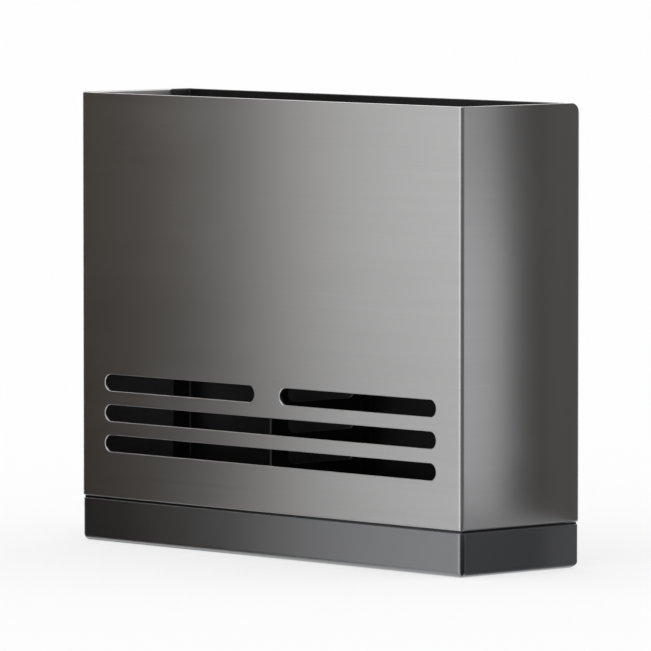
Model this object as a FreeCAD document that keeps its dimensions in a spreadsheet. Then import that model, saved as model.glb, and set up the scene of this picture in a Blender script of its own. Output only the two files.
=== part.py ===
"""A wall-mounted chopstick holder: a bent sheet shell on a wall rail, with a divider and a drip tray.

Millimetres.  +X is to the right as seen from the front, +Y goes into the wall and +Z is up.  The origin is
the middle of the wall rail's back, on the wall.  Sizes are cells of one sheet, and every place below is a
formula in their names.
"""
import FreeCAD, Part
import math
import os
import re

import Sketcher

SIZES = {
    # Whole holder, from the front face to the shell's free rear edges and from the tray's underside to the rim
    "shell_width": 220,
    "shell_depth": 62.7,
    "overall_height": 180,
    "wall_gap": 0.3,
    "rail_drop": 40,
    # Bent sheet of the shell and the back panel
    "sheet_thickness": 1,
    "bend_radius": 1.8,
    "lip_bend_radius": 0.8,
    "edge_round": 0.45,
    "rear_corner_radius": 4,
    "front_lip": 9,
    "end_lip": 25,
    "panel_recess": 5,
    "panel_flange": 10,
    # Vent slots of the front
    "slot_height": 6.6,
    "slot_spacing": 12.2,
    "lowest_slot_rise": 39.65,
    "slot_margin": 14.4,
    "slot_bridge": 14.8,
    "slot_edge_round": 0.4,
    # Drain floor
    "floor_thickness": 1,
    "floor_clearance": 0.3,
    "floor_flange": 8,
    "drain_slot_width": 3.2,
    "drain_slot_length": 15,
    "drain_slot_spacing": 12,
    "drain_row_spacing": 24,
    # Drip tray
    "tray_height": 17,
    "seam_gap": 0.8,
    "tray_wall": 2,
    "tray_floor": 2,
    "tray_corner_radius": 2.4,
    "tray_rear_radius": 4,
    "tray_rear_edge_round": 0.8,
    "tray_rim_round": 0.35,
    "ridge_post_inset": 0.5,
    "ridge_clearance": 0.1,
    "tray_inner_radius": 1,
    "rib_width": 8,
    "rib_thickness": 2,
    "rib_drop": 1,
    "rear_wall_clearance": 0.6,
    # Tray runners
    "runner_thickness": 1,
    "runner_flange": 13,
    "runner_lip": 6.5,
    "slide_clearance": 0.3,
    "rest_clearance": 0.2,
    # Rivets
    "shank_diameter": 3,
    "hole_clearance": 0.1,
    "head_diameter": 6,
    "head_height": 1,
    "head_crown_share": 0.6,
    "tail_diameter": 4.6,
    "tail_height": 1,
    "runner_rivet_inset": 9,
    "hanger_rivet_inset": 11,
    # Divider and its guides
    "divider_thickness": 1,
    "divider_drop": 15,
    "divider_corner_radius": 4,
    "divider_end_play": 0.4,
    "divider_slot_margin": 12,
    "divider_tab_length": 14,
    "divider_tab_depth": 0.8,
    "finger_notch_diameter": 22,
    "guide_thickness": 0.8,
    "guide_leg": 7,
    "guide_clearance": 0.3,
    "guide_rise": 2,
    # Wall rail and its pad
    "rail_width": 120,
    "rail_height": 22,
    "rail_thickness": 1.2,
    "rail_step": 1.5,
    "rail_lip": 9,
    "rail_corner_radius": 3,
    "screw_spacing": 100,
    "screw_hole_diameter": 4.5,
    "pad_width": 80,
    "pad_height": 18,
    "pad_thickness": 0.8,
    "pad_corner_radius": 3,
    # Hanger rail
    "hanger_width": 112,
    "hanger_height": 15,
    "hanger_thickness": 1,
    "hook_length": 7.5,
    "hook_clearance": 0.4,
    # Wall bumpers
    "bumper_diameter": 12,
    "bumper_inset": 18,
    "bumper_rise": 22,
    "bumper_round": 1,
    # How far every cut runs past the solid that it opens
    "overrun": 2,
}

RUNNER_RIVETS = 3
HANGER_RIVETS = 4
VENT_ROWS = 3
NEAR = 1e-4
ROOT_POINT = (-1, 1)
POINTS = ("whole edge", "start", "end", "middle")

# Places across the holder
HALF_WIDTH = "shell_width / 2"
INNER_HALF = "(shell_width / 2 - sheet_thickness)"
RUNNER_WEB = "(shell_width / 2 - tray_wall - rib_width - slide_clearance)"
RUNNER_RIVET_X = f"({RUNNER_WEB} - (runner_flange + runner_thickness) / 2)"
# Places from the wall to the front
FRONT = "-(shell_depth + wall_gap)"
INNER_FRONT = "(sheet_thickness - shell_depth - wall_gap)"
REAR = "-wall_gap"
PANEL_REAR = "-(wall_gap + panel_recess)"
PANEL_FRONT = "-(wall_gap + panel_recess + sheet_thickness)"
RUNNER_FRONT = f"({FRONT} + tray_wall + slide_clearance)"
RUNNER_LENGTH = f"({PANEL_REAR} - {RUNNER_FRONT})"
RUNNER_RIVET_SPACING = f"(({RUNNER_LENGTH} - 2 * runner_rivet_inset) / {RUNNER_RIVETS - 1})"
DIVIDER_FRONT = f"({INNER_FRONT} + guide_thickness + divider_end_play)"
DIVIDER_REAR = f"({PANEL_FRONT} - guide_thickness - divider_end_play)"
DIVIDER_MIDDLE = f"(({DIVIDER_FRONT} + {DIVIDER_REAR}) / 2)"
# Heights
RIM = "rail_drop"
TRAY_BASE = "(rail_drop - overall_height)"
SHELL_BASE = f"({TRAY_BASE} + tray_height + seam_gap)"
LIP_TOP = f"({SHELL_BASE} + sheet_thickness)"
FLOOR_TOP = f"({LIP_TOP} + floor_thickness)"
TRAY_RIM = f"({TRAY_BASE} + tray_height)"
TRAY_RIDGE = f"({SHELL_BASE} - ridge_clearance)"
RIB_TOP = f"({SHELL_BASE} - rib_drop)"
RIB_UNDERSIDE = f"({RIB_TOP} - rib_thickness)"
RUNNER_LIP_TOP = f"({RIB_UNDERSIDE} - rest_clearance)"
RUNNER_UNDERSIDE = f"({RUNNER_LIP_TOP} - runner_thickness)"
DIVIDER_BASE = f"({FLOOR_TOP} + rest_clearance)"
DIVIDER_TOP = f"({RIM} - divider_drop)"
HANGER_JOG = "(rail_height / 2 + rail_lip + rest_clearance)"
HANGER_RIVET_Z = f"({HANGER_JOG} + (hanger_thickness + hanger_height) / 2)"
# Rivets of the hanger rail, and every rivet's hole
HANGER_RIVET_SPACING = f"((hanger_width - 2 * hanger_rivet_inset) / {HANGER_RIVETS - 1})"
RIVET_HOLE = "(shank_diameter + hole_clearance)"

document = FreeCAD.newDocument("chopstick_holder")
sheet = document.addObject("Spreadsheet::Sheet", "Sizes")
for row, (alias, value) in enumerate(SIZES.items(), 1):
    sheet.set(f"A{row}", alias)
    sheet.set(f"B{row}", str(value))
    sheet.setAlias(f"B{row}", alias)
document.recompute()

nodes = []


def bound(formula):
    """The formula with each size's name pointing at its cell."""
    return re.sub(r"[a-z_]+", lambda found: f"Sizes.{found.group()}", formula)


def number(formula):
    """What a formula comes to with the sheet's present values."""
    return float(sheet.evalExpression(bound(formula)))


def vent_height(row):
    """Formula for the middle of a vent row, counted from the lowest."""
    return f"({TRAY_BASE} + lowest_slot_rise + {row} * slot_spacing)"


def runner_rivet_places(side):
    """Formulas for the middles of one runner's rivets, seen from above."""
    first = f"{RUNNER_FRONT} + runner_rivet_inset"
    return [
        (f"{side} * {RUNNER_RIVET_X}", f"{first} + {index} * {RUNNER_RIVET_SPACING}")
        for index in range(RUNNER_RIVETS)
    ]


def new_body(label):
    """A body that is written to a file named by its label."""
    body = document.addObject("PartDesign::Body", label)
    body.Label = label
    body.Placement = FreeCAD.Placement()
    nodes.append(body)
    return body


def new_sketch(body, plane, height="0", across="0", up="0"):
    """A sketch on one of the body's own planes, moved along the plane's normal and within the plane."""
    sketch = body.newObject("Sketcher::SketchObject", f"{body.Name}_sketch")
    origin_plane = next(item for item in body.Origin.OriginFeatures if item.Role == plane)
    sketch.AttachmentSupport = [(origin_plane, "")]
    sketch.MapMode = "FlatFace"
    for axis, formula in zip("xyz", (across, up, height)):
        sketch.setExpression(f"AttachmentOffset.Base.{axis}", bound(formula))
    return sketch


def hold(sketch, kind, places, formula):
    """Add one dimension to a sketch and bind it to a formula."""
    index = sketch.addConstraint(Sketcher.Constraint(kind, *places, number(formula)))
    sketch.setExpression(f"Constraints[{index}]", bound(formula))


def pin(sketch, edge, point, place):
    """Hold an edge's start, end or middle at a place given by two formulas."""
    for kind, formula in zip(("DistanceX", "DistanceY"), place):
        hold(sketch, kind, (*ROOT_POINT, edge, POINTS.index(point)), formula)


def join(sketch, kind, edge, following, points=("end", "start")):
    """Tie a point of one edge to a point of another, the end of one to the start of the next if not said."""
    ends = (edge, POINTS.index(points[0]), following, POINTS.index(points[1]))
    sketch.addConstraint(Sketcher.Constraint(kind, *ends))


def draw_outline(sketch, places):
    """A closed outline of straight edges through the places."""
    corners = [FreeCAD.Vector(number(across), number(up), 0) for across, up in places]
    edges = []
    for start, end in zip(corners, corners[1:] + corners[:1]):
        edges.append(sketch.addGeometry(Part.LineSegment(start, end), False))
    for edge, following, place in zip(edges, edges[1:] + edges[:1], places):
        join(sketch, "Coincident", edge, following)
        pin(sketch, edge, "start", place)


def draw_rectangle(sketch, left, right, bottom, top):
    """A rectangle between four formulas."""
    draw_outline(sketch, [(left, bottom), (right, bottom), (right, top), (left, top)])


def draw_circle(sketch, place, diameter):
    """A circle about a place."""
    middle = FreeCAD.Vector(number(place[0]), number(place[1]), 0)
    circle = Part.Circle(middle, FreeCAD.Vector(0, 0, 1), number(diameter) / 2)
    edge = sketch.addGeometry(circle, False)
    pin(sketch, edge, "middle", place)
    hold(sketch, "Diameter", (edge,), diameter)


def draw_slot(sketch, start, end, width):
    """A slot with full-round ends about two places."""
    middles = [FreeCAD.Vector(number(across), number(up), 0) for across, up in (start, end)]
    radius = number(width) / 2
    along = middles[1] - middles[0]
    turn = math.atan2(along.y, along.x)
    quarter = math.pi / 2
    arcs = []
    for middle, first in zip(middles, (turn + quarter, turn - quarter)):
        circle = Part.Circle(middle, FreeCAD.Vector(0, 0, 1), radius)
        arcs.append(sketch.addGeometry(Part.ArcOfCircle(circle, first, first + math.pi), False))
    side = FreeCAD.Vector(math.sin(turn), -math.cos(turn), 0) * radius
    lower = sketch.addGeometry(Part.LineSegment(middles[0] + side, middles[1] + side), False)
    upper = sketch.addGeometry(Part.LineSegment(middles[1] - side, middles[0] - side), False)
    ring = [arcs[0], lower, arcs[1], upper]
    for edge, following in zip(ring, ring[1:] + ring[:1]):
        join(sketch, "Tangent", edge, following)
    sketch.addConstraint(Sketcher.Constraint("Equal", *arcs))
    pin(sketch, arcs[0], "middle", start)
    pin(sketch, arcs[1], "middle", end)
    hold(sketch, "Diameter", (arcs[0],), width)


def draw_corner_waste(sketch, across, up, radius, way):
    """What is cut away to round a corner whose tip is the greatest place across, and up the greatest or the least."""
    middle = (f"{across} - {radius}", f"{up} - ({way}) * {radius}")
    beyond = (f"{across} + overrun", f"{up} + ({way}) * overrun")
    chain = [
        (across, middle[1]),
        (beyond[0], middle[1]),
        beyond,
        (middle[0], beyond[1]),
        (middle[0], up),
    ]
    corners = [FreeCAD.Vector(number(place[0]), number(place[1]), 0) for place in chain]
    edges = []
    for start, end in zip(corners, corners[1:]):
        edges.append(sketch.addGeometry(Part.LineSegment(start, end), False))
    for edge, place in zip(edges, chain):
        pin(sketch, edge, "start", place)
    for edge, following in zip(edges, edges[1:]):
        join(sketch, "Coincident", edge, following)
    pin(sketch, edges[-1], "end", chain[-1])
    centre = FreeCAD.Vector(number(middle[0]), number(middle[1]), 0)
    circle = Part.Circle(centre, FreeCAD.Vector(0, 0, 1), number(radius))
    turns = sorted((0, way * math.pi / 2))
    arc = sketch.addGeometry(Part.ArcOfCircle(circle, *turns), False)
    side, tip = ("start", "end") if way > 0 else ("end", "start")
    join(sketch, "Coincident", arc, edges[0], (side, "start"))
    join(sketch, "Coincident", arc, edges[-1], (tip, "end"))
    hold(sketch, "Radius", (arc,), radius)


def settle(feature):
    """Recompute and stop if the feature failed."""
    document.recompute()
    if not feature.isValid() or feature.Shape.isNull() or not feature.Shape.isValid():
        raise RuntimeError(f"{feature.Name} failed: {feature.getStatusString()}")
    return feature


def pad(sketch, length):
    """Raise a sketch into a solid along its normal."""
    body = sketch.getParentGeoFeatureGroup()
    feature = body.newObject("PartDesign::Pad", f"{body.Name}_pad")
    feature.Profile = sketch
    feature.setExpression("Length", bound(length))
    return settle(feature)


def cut(sketch, depth):
    """Cut a sketch into the solid, against its normal, and stop if nothing was cut."""
    body = sketch.getParentGeoFeatureGroup()
    before = body.Shape.Volume
    feature = body.newObject("PartDesign::Pocket", f"{body.Name}_cut")
    feature.Profile = sketch
    feature.setExpression("Length", bound(depth))
    settle(feature)
    if body.Shape.Volume >= before:
        raise RuntimeError(f"{feature.Name} cuts nothing")
    return feature


def repeat(feature, direction, count, spacing):
    """Repeat a feature along an axis of its own sketch."""
    body = feature.getParentGeoFeatureGroup()
    pattern = body.newObject("PartDesign::LinearPattern", f"{body.Name}_row")
    pattern.Originals = [feature]
    pattern.Direction = (feature.Profile[0], [direction])
    pattern.Occurrences = count
    pattern.setExpression("Length", bound(f"{count - 1} * {spacing}"))
    body.Tip = pattern
    return settle(pattern)


def lies_within(edge, limits):
    """Whether an edge lies between the limits that are given for each axis."""
    box = edge.BoundBox
    spans = {"x": (box.XMin, box.XMax), "y": (box.YMin, box.YMax), "z": (box.ZMin, box.ZMax)}
    for axis, (low, high) in limits.items():
        if spans[axis][0] < number(low) - NEAR or spans[axis][1] > number(high) + NEAR:
            return False
    return True


def round_edges(body, radius, *places):
    """Round the edges that lie within any of the places, each a set of limits for the axes."""
    base = body.Tip
    names = [
        f"Edge{index}"
        for index, edge in enumerate(base.Shape.Edges, 1)
        if any(lies_within(edge, place) for place in places)
    ]
    if not names:
        raise RuntimeError(f"{body.Label} has no edge to round")
    fillet = body.newObject("PartDesign::Fillet", f"{body.Name}_round")
    fillet.Base = (base, names)
    fillet.setExpression("Radius", bound(radius))
    return settle(fillet)


def at(formula):
    """Limits that hold an edge at one place on an axis."""
    return (formula, formula)


def both_sides(formula):
    """A formula on the right and its mirror on the left."""
    return (formula, f"-({formula})")


# Bent front and ends

def make_front_shell():
    """The front and both ends, bent from one sheet, with lips turned in below to carry the floor."""
    body = new_body("front_shell")
    block = new_sketch(body, "XY_Plane", SHELL_BASE)
    draw_rectangle(block, f"-{HALF_WIDTH}", HALF_WIDTH, FRONT, REAR)
    pad(block, f"{RIM} - {SHELL_BASE}")
    round_edges(body, "bend_radius", *({"x": at(side), "y": at(FRONT)} for side in both_sides(HALF_WIDTH)))
    round_edges(body, "lip_bend_radius", {"y": at(FRONT), "z": at(SHELL_BASE)})

    inside = new_sketch(body, "XY_Plane", RIM)
    draw_rectangle(inside, f"-{INNER_HALF}", INNER_HALF, INNER_FRONT, f"{REAR} + overrun")
    cut(inside, f"{RIM} - {LIP_TOP}")
    inner_bends = ({"x": at(side), "y": at(INNER_FRONT)} for side in both_sides(INNER_HALF))
    round_edges(body, "bend_radius - sheet_thickness", *inner_bends)

    window = new_sketch(body, "XY_Plane", LIP_TOP)
    lip_end = f"({HALF_WIDTH} - end_lip)"
    draw_rectangle(window, f"-{lip_end}", lip_end, f"{FRONT} + front_lip", f"{REAR} + overrun")
    cut(window, "sheet_thickness")
    notch = new_sketch(body, "XY_Plane", LIP_TOP)
    draw_rectangle(notch, f"-{INNER_HALF}", INNER_HALF, PANEL_REAR, f"{REAR} + overrun")
    cut(notch, "sheet_thickness")

    holes = new_sketch(body, "XY_Plane", LIP_TOP)
    for side in (-1, 1):
        for place in runner_rivet_places(side):
            draw_circle(holes, place, RIVET_HOLE)
    cut(holes, "sheet_thickness")

    slots = new_sketch(body, "XZ_Plane", f"-({FRONT})")
    outer_end = f"({HALF_WIDTH} - slot_margin - slot_height / 2)"
    inner_end = "(slot_bridge / 2 + slot_height / 2)"
    for row in range(VENT_ROWS):
        height = vent_height(row)
        if row < VENT_ROWS - 1:
            draw_slot(slots, (f"-{outer_end}", height), (outer_end, height), "slot_height")
        else:
            draw_slot(slots, (f"-{outer_end}", height), (f"-{inner_end}", height), "slot_height")
            draw_slot(slots, (inner_end, height), (outer_end, height), "slot_height")
    cut(slots, "sheet_thickness + overrun")

    round_edges(body, "edge_round", {"y": at(FRONT), "z": at(RIM)}, {"y": at(INNER_FRONT), "z": at(RIM)})
    rear_corner = new_sketch(body, "YZ_Plane", HALF_WIDTH)
    draw_corner_waste(rear_corner, REAR, RIM, "rear_corner_radius", 1)
    cut(rear_corner, "shell_width")
    slot_band = (f"{vent_height(0)} - slot_height / 2", f"{vent_height(VENT_ROWS - 1)} + slot_height / 2")
    round_edges(body, "slot_edge_round", {"y": at(FRONT), "z": slot_band})


def make_back_panel():
    """The back, with a flange along each end that is spot-welded to the shell."""
    body = new_body("back_panel")
    block = new_sketch(body, "XZ_Plane", f"-({PANEL_REAR})")
    draw_rectangle(block, f"-{INNER_HALF}", INNER_HALF, FLOOR_TOP, RIM)
    pad(block, "panel_flange")
    round_edges(body, "bend_radius", *({"x": at(side), "y": at(PANEL_REAR)} for side in both_sides(INNER_HALF)))

    inside = new_sketch(body, "XZ_Plane", f"-({PANEL_REAR}) + panel_flange")
    flange_face = f"({INNER_HALF} - sheet_thickness)"
    draw_rectangle(inside, f"-{flange_face}", flange_face, f"{FLOOR_TOP} - overrun", f"{RIM} + overrun")
    cut(inside, "panel_flange - sheet_thickness")
    inner_bends = ({"x": at(side), "y": at(PANEL_FRONT)} for side in both_sides(flange_face))
    round_edges(body, "bend_radius - sheet_thickness", *inner_bends)

    holes = new_sketch(body, "XZ_Plane", f"-({PANEL_FRONT})")
    for index in range(HANGER_RIVETS):
        place = (f"{index - (HANGER_RIVETS - 1) / 2} * {HANGER_RIVET_SPACING}", HANGER_RIVET_Z)
        draw_circle(holes, place, RIVET_HOLE)
    cut(holes, "sheet_thickness")
    straight_rim = (f"bend_radius - {INNER_HALF}", f"{INNER_HALF} - bend_radius")
    round_edges(body, "edge_round", {"x": straight_rim, "z": at(RIM)})


def make_drain_floor():
    """The slotted floor that lies on the shell's lips, with a flange welded behind the back panel."""
    body = new_body("drain_floor")
    side = f"({INNER_HALF} - floor_clearance)"
    flange_rear = f"({PANEL_REAR} + floor_thickness)"
    plate = new_sketch(body, "XY_Plane", LIP_TOP)
    draw_rectangle(plate, f"-{side}", side, f"{INNER_FRONT} + floor_clearance", flange_rear)
    pad(plate, "floor_thickness")
    flange = new_sketch(body, "XY_Plane", FLOOR_TOP)
    draw_rectangle(flange, f"-{side}", side, PANEL_REAR, flange_rear)
    pad(flange, "floor_flange")

    holes = new_sketch(body, "XY_Plane", FLOOR_TOP)
    for hand in (-1, 1):
        for place in runner_rivet_places(hand):
            draw_circle(holes, place, RIVET_HOLE)
    tab_half = "(divider_thickness / 2 + guide_clearance)"
    tab_reach = "(divider_tab_length / 2 + guide_clearance)"
    draw_rectangle(
        holes, f"-{tab_half}", tab_half, f"{DIVIDER_MIDDLE} - {tab_reach}", f"{DIVIDER_MIDDLE} + {tab_reach}"
    )
    cut(holes, "floor_thickness")

    reach = number(f"{HALF_WIDTH} - end_lip - drain_slot_width")
    columns = 2 * math.floor(reach / number("drain_slot_spacing"))
    drains = new_sketch(body, "XY_Plane", FLOOR_TOP)
    first = f"{(1 - columns) / 2} * drain_slot_spacing"
    straight = "(drain_slot_length - drain_slot_width) / 2"
    for hand in (-1, 1):
        middle = f"({DIVIDER_MIDDLE} + {hand} * drain_row_spacing / 2)"
        draw_slot(drains, (first, f"{middle} - {straight}"), (first, f"{middle} + {straight}"), "drain_slot_width")
    repeat(cut(drains, "floor_thickness"), "H_Axis", columns, "drain_slot_spacing")


# Tray and what it slides on

def make_tray_runner(label, side):
    """A Z-section runner below one end lip; its outer lip carries the tray's rib."""
    body = new_body(label)
    web = RUNNER_WEB
    section = [
        (f"{web} - runner_flange", SHELL_BASE),
        (web, SHELL_BASE),
        (web, RUNNER_LIP_TOP),
        (f"{web} + runner_lip", RUNNER_LIP_TOP),
        (f"{web} + runner_lip", RUNNER_UNDERSIDE),
        (f"{web} - runner_thickness", RUNNER_UNDERSIDE),
        (f"{web} - runner_thickness", f"{SHELL_BASE} - runner_thickness"),
        (f"{web} - runner_flange", f"{SHELL_BASE} - runner_thickness"),
    ]
    profile = new_sketch(body, "XZ_Plane", f"-({PANEL_REAR})")
    draw_outline(profile, [(f"{side} * ({across})", up) for across, up in section])
    pad(profile, RUNNER_LENGTH)
    holes = new_sketch(body, "XY_Plane", SHELL_BASE)
    for place in runner_rivet_places(side):
        draw_circle(holes, place, RIVET_HOLE)
    cut(holes, "runner_thickness")


def rivet_outline(tail_seat, head_seat, tail_way):
    """Half of a rivet's section as (radius, height), from its set tail to its head."""
    tail_end = f"{tail_seat} + {tail_way} * tail_height"
    head_end = f"{head_seat} - {tail_way} * head_height"
    return [
        ("0", tail_end),
        ("tail_diameter / 2", tail_end),
        ("tail_diameter / 2", tail_seat),
        ("shank_diameter / 2", tail_seat),
        ("shank_diameter / 2", head_seat),
        ("head_diameter / 2", head_seat),
        ("head_diameter / 2 * head_crown_share", head_end),
        ("0", head_end),
    ]


def make_runner_rivets(label, side):
    """The rivets that hold one runner, the shell's lip and the floor together."""
    body = new_body(label)
    across, along = runner_rivet_places(side)[0]
    profile = new_sketch(body, "XZ_Plane", f"-({along})", across)
    draw_outline(profile, rivet_outline(f"{SHELL_BASE} - runner_thickness", FLOOR_TOP, -1))
    turned = body.newObject("PartDesign::Revolution", f"{label}_turned")
    turned.Profile = profile
    turned.ReferenceAxis = (profile, ["V_Axis"])
    document.recompute()
    repeat(turned, "N_Axis", RUNNER_RIVETS, RUNNER_RIVET_SPACING).Reversed = True


def make_drip_tray():
    """A moulded tray with a ridge behind the seam, and a rib inside each end that rides on a runner."""
    body = new_body("drip_tray")
    block = new_sketch(body, "XY_Plane", TRAY_BASE)
    draw_rectangle(block, f"-{HALF_WIDTH}", HALF_WIDTH, FRONT, REAR)
    pad(block, "tray_height")
    lower_edges = [{"y": at(FRONT), "z": at(TRAY_BASE)}]
    rear_edges = []
    for end in both_sides(HALF_WIDTH):
        lower_edges += [{"x": at(end), "y": at(FRONT)}, {"x": at(end), "z": at(TRAY_BASE)}]
        rear_edges.append({"x": at(end), "y": at(REAR)})
    round_edges(body, "tray_corner_radius", *lower_edges)
    round_edges(body, "tray_rear_edge_round", *rear_edges)
    round_edges(body, "tray_rim_round", {"y": at(FRONT), "z": at(TRAY_RIM)})
    rear_corner = new_sketch(body, "YZ_Plane", HALF_WIDTH)
    draw_corner_waste(rear_corner, REAR, TRAY_BASE, "tray_rear_radius", -1)
    cut(rear_corner, "shell_width")

    ridge_foot = f"({TRAY_RIM} - tray_rim_round)"
    ridge_side = f"({HALF_WIDTH} - tray_wall / 2)"
    post_side = f"({HALF_WIDTH} - ridge_post_inset)"
    half_ridge = [
        (ridge_side, f"{FRONT} + tray_wall / 2"),
        (ridge_side, f"{REAR} - tray_wall"),
        (post_side, f"{REAR} - tray_wall"),
        (post_side, f"{REAR} - ridge_post_inset"),
    ]
    ridge = new_sketch(body, "XY_Plane", ridge_foot)
    draw_outline(ridge, half_ridge + [(f"-{across}", along) for across, along in reversed(half_ridge)])
    pad(ridge, f"{TRAY_RIDGE} - {ridge_foot}")

    well = new_sketch(body, "XY_Plane", TRAY_RIDGE)
    end = f"({HALF_WIDTH} - tray_wall)"
    rear = f"({REAR} - tray_wall)"
    draw_rectangle(well, f"-{end}", end, f"{FRONT} + tray_wall", rear)
    well_floor = f"({TRAY_BASE} + tray_floor)"
    cut(well, f"{TRAY_RIDGE} - {well_floor}")
    inner_edges = {"x": (f"-{end}", end), "y": (f"{FRONT} + tray_wall", rear), "z": at(well_floor)}
    round_edges(body, "tray_inner_radius", inner_edges)

    low_rear = new_sketch(body, "XY_Plane", TRAY_RIDGE)
    draw_rectangle(low_rear, f"-{end}", end, f"{rear} - tray_inner_radius", f"{REAR} + overrun")
    cut(low_rear, f"{TRAY_RIDGE} - ({RUNNER_UNDERSIDE} - rear_wall_clearance)")

    for side in (-1, 1):
        rib = new_sketch(body, "XZ_Plane", f"-({REAR}) + tray_wall")
        middle_of_wall = f"{side} * ({HALF_WIDTH} - tray_wall / 2)"
        inner_edge = f"{side} * ({HALF_WIDTH} - tray_wall - rib_width)"
        draw_rectangle(rib, inner_edge, middle_of_wall, RIB_UNDERSIDE, RIB_TOP)
        pad(rib, "shell_depth - tray_wall - tray_wall / 2")


# Divider and guides

def make_guide(label, wall, way, base):
    """A U channel welded to a wall, open towards the divider, from its base up to the divider's top."""
    body = new_body(label)
    inner = "(divider_thickness / 2 + guide_clearance)"
    outer = f"({inner} + guide_thickness)"
    web = f"{wall} + {way} * guide_thickness"
    tip = f"{wall} + {way} * guide_leg"
    profile = new_sketch(body, "XY_Plane", base)
    draw_outline(profile, [
        (f"-{outer}", wall),
        (outer, wall),
        (outer, tip),
        (inner, tip),
        (inner, web),
        (f"-{inner}", web),
        (f"-{inner}", tip),
        (f"-{outer}", tip),
    ])
    pad(profile, f"{DIVIDER_TOP} - ({base})")


def make_divider_panel():
    """The lift-out divider, with vent slots, a finger notch and a tab that drops into the floor."""
    body = new_body("divider_panel")
    tab_front = f"{DIVIDER_MIDDLE} - divider_tab_length / 2"
    tab_rear = f"{DIVIDER_MIDDLE} + divider_tab_length / 2"
    tab_end = f"{FLOOR_TOP} - divider_tab_depth"
    plate = new_sketch(body, "YZ_Plane", "-divider_thickness / 2")
    draw_outline(plate, [
        (DIVIDER_FRONT, DIVIDER_BASE),
        (tab_front, DIVIDER_BASE),
        (tab_front, tab_end),
        (tab_rear, tab_end),
        (tab_rear, DIVIDER_BASE),
        (DIVIDER_REAR, DIVIDER_BASE),
        (DIVIDER_REAR, DIVIDER_TOP),
        (DIVIDER_FRONT, DIVIDER_TOP),
    ])
    pad(plate, "divider_thickness")
    top_corners = ({"y": at(edge), "z": at(DIVIDER_TOP)} for edge in (DIVIDER_FRONT, DIVIDER_REAR))
    round_edges(body, "divider_corner_radius", *top_corners)

    openings = new_sketch(body, "YZ_Plane", "divider_thickness / 2")
    draw_circle(openings, (DIVIDER_MIDDLE, DIVIDER_TOP), "finger_notch_diameter")
    first = f"{DIVIDER_FRONT} + divider_slot_margin"
    last = f"{DIVIDER_REAR} - divider_slot_margin"
    for row in range(VENT_ROWS):
        draw_slot(openings, (first, vent_height(row)), (last, vent_height(row)), "slot_height")
    cut(openings, "divider_thickness")


# Hanging on the wall

def make_wall_rail():
    """The rail on the wall: a plate with two screw holes and a lip, stepped forward, that the holder hooks on."""
    body = new_body("wall_rail")
    back = "-pad_thickness"
    front = "-(pad_thickness + rail_thickness)"
    lip_back = "-(pad_thickness + rail_step)"
    lip_front = "-(pad_thickness + rail_step + rail_thickness)"
    top = "rail_height / 2"
    section = [
        (back, f"-{top}"),
        (back, top),
        (lip_back, top),
        (lip_back, f"{top} + rail_lip"),
        (lip_front, f"{top} + rail_lip"),
        (lip_front, f"{top} - rail_thickness"),
        (front, f"{top} - rail_thickness"),
        (front, f"-{top}"),
    ]
    profile = new_sketch(body, "YZ_Plane", "-rail_width / 2")
    draw_outline(profile, section)
    pad(profile, "rail_width")
    for height in (f"-{top}", f"{top} + rail_lip"):
        ends = ({"x": at(end), "z": at(height)} for end in both_sides("rail_width / 2"))
        round_edges(body, "rail_corner_radius", *ends)
    holes = new_sketch(body, "XZ_Plane", f"-({front})")
    for place in both_sides("screw_spacing / 2"):
        draw_circle(holes, (place, "0"), "screw_hole_diameter")
    cut(holes, "rail_thickness")


def make_adhesive_pad():
    """The foam pad that sticks the wall rail to the wall."""
    body = new_body("adhesive_pad")
    outline = new_sketch(body, "XZ_Plane")
    draw_rectangle(outline, "-pad_width / 2", "pad_width / 2", "-pad_height / 2", "pad_height / 2")
    pad(outline, "pad_thickness")
    corners = [
        {"x": at(end), "z": at(height)}
        for end in both_sides("pad_width / 2")
        for height in both_sides("pad_height / 2")
    ]
    round_edges(body, "pad_corner_radius", *corners)


def make_hanger_rail():
    """The rail behind the back panel, whose turned-down lip drops behind the wall rail's lip."""
    body = new_body("hanger_rail")
    plate_back = f"({PANEL_REAR} + hanger_thickness)"
    lip_front = "(hook_clearance - pad_thickness - rail_step)"
    lip_back = f"({lip_front} + hanger_thickness)"
    top = f"{HANGER_JOG} + hanger_height"
    tip = f"{HANGER_JOG} - hook_length"
    profile = new_sketch(body, "YZ_Plane", "-hanger_width / 2")
    draw_outline(profile, [
        (PANEL_REAR, HANGER_JOG),
        (PANEL_REAR, top),
        (plate_back, top),
        (plate_back, f"{HANGER_JOG} + hanger_thickness"),
        (lip_back, f"{HANGER_JOG} + hanger_thickness"),
        (lip_back, tip),
        (lip_front, tip),
        (lip_front, HANGER_JOG),
    ])
    pad(profile, "hanger_width")
    holes = new_sketch(body, "XZ_Plane", f"-({PANEL_REAR})")
    for index in range(HANGER_RIVETS):
        place = (f"{index - (HANGER_RIVETS - 1) / 2} * {HANGER_RIVET_SPACING}", HANGER_RIVET_Z)
        draw_circle(holes, place, RIVET_HOLE)
    cut(holes, "hanger_thickness")


def make_hanger_rivets():
    """The rivets that hold the hanger rail to the back panel."""
    body = new_body("hanger_rivets")
    first = f"{(1 - HANGER_RIVETS) / 2} * {HANGER_RIVET_SPACING}"
    profile = new_sketch(body, "YZ_Plane", first, "0", HANGER_RIVET_Z)
    outline = rivet_outline(f"{PANEL_REAR} + hanger_thickness", PANEL_FRONT, 1)
    draw_outline(profile, [(height, radius) for radius, height in outline])
    turned = body.newObject("PartDesign::Revolution", "hanger_rivets_turned")
    turned.Profile = profile
    turned.ReferenceAxis = (profile, ["H_Axis"])
    document.recompute()
    repeat(turned, "N_Axis", HANGER_RIVETS, HANGER_RIVET_SPACING)


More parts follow.
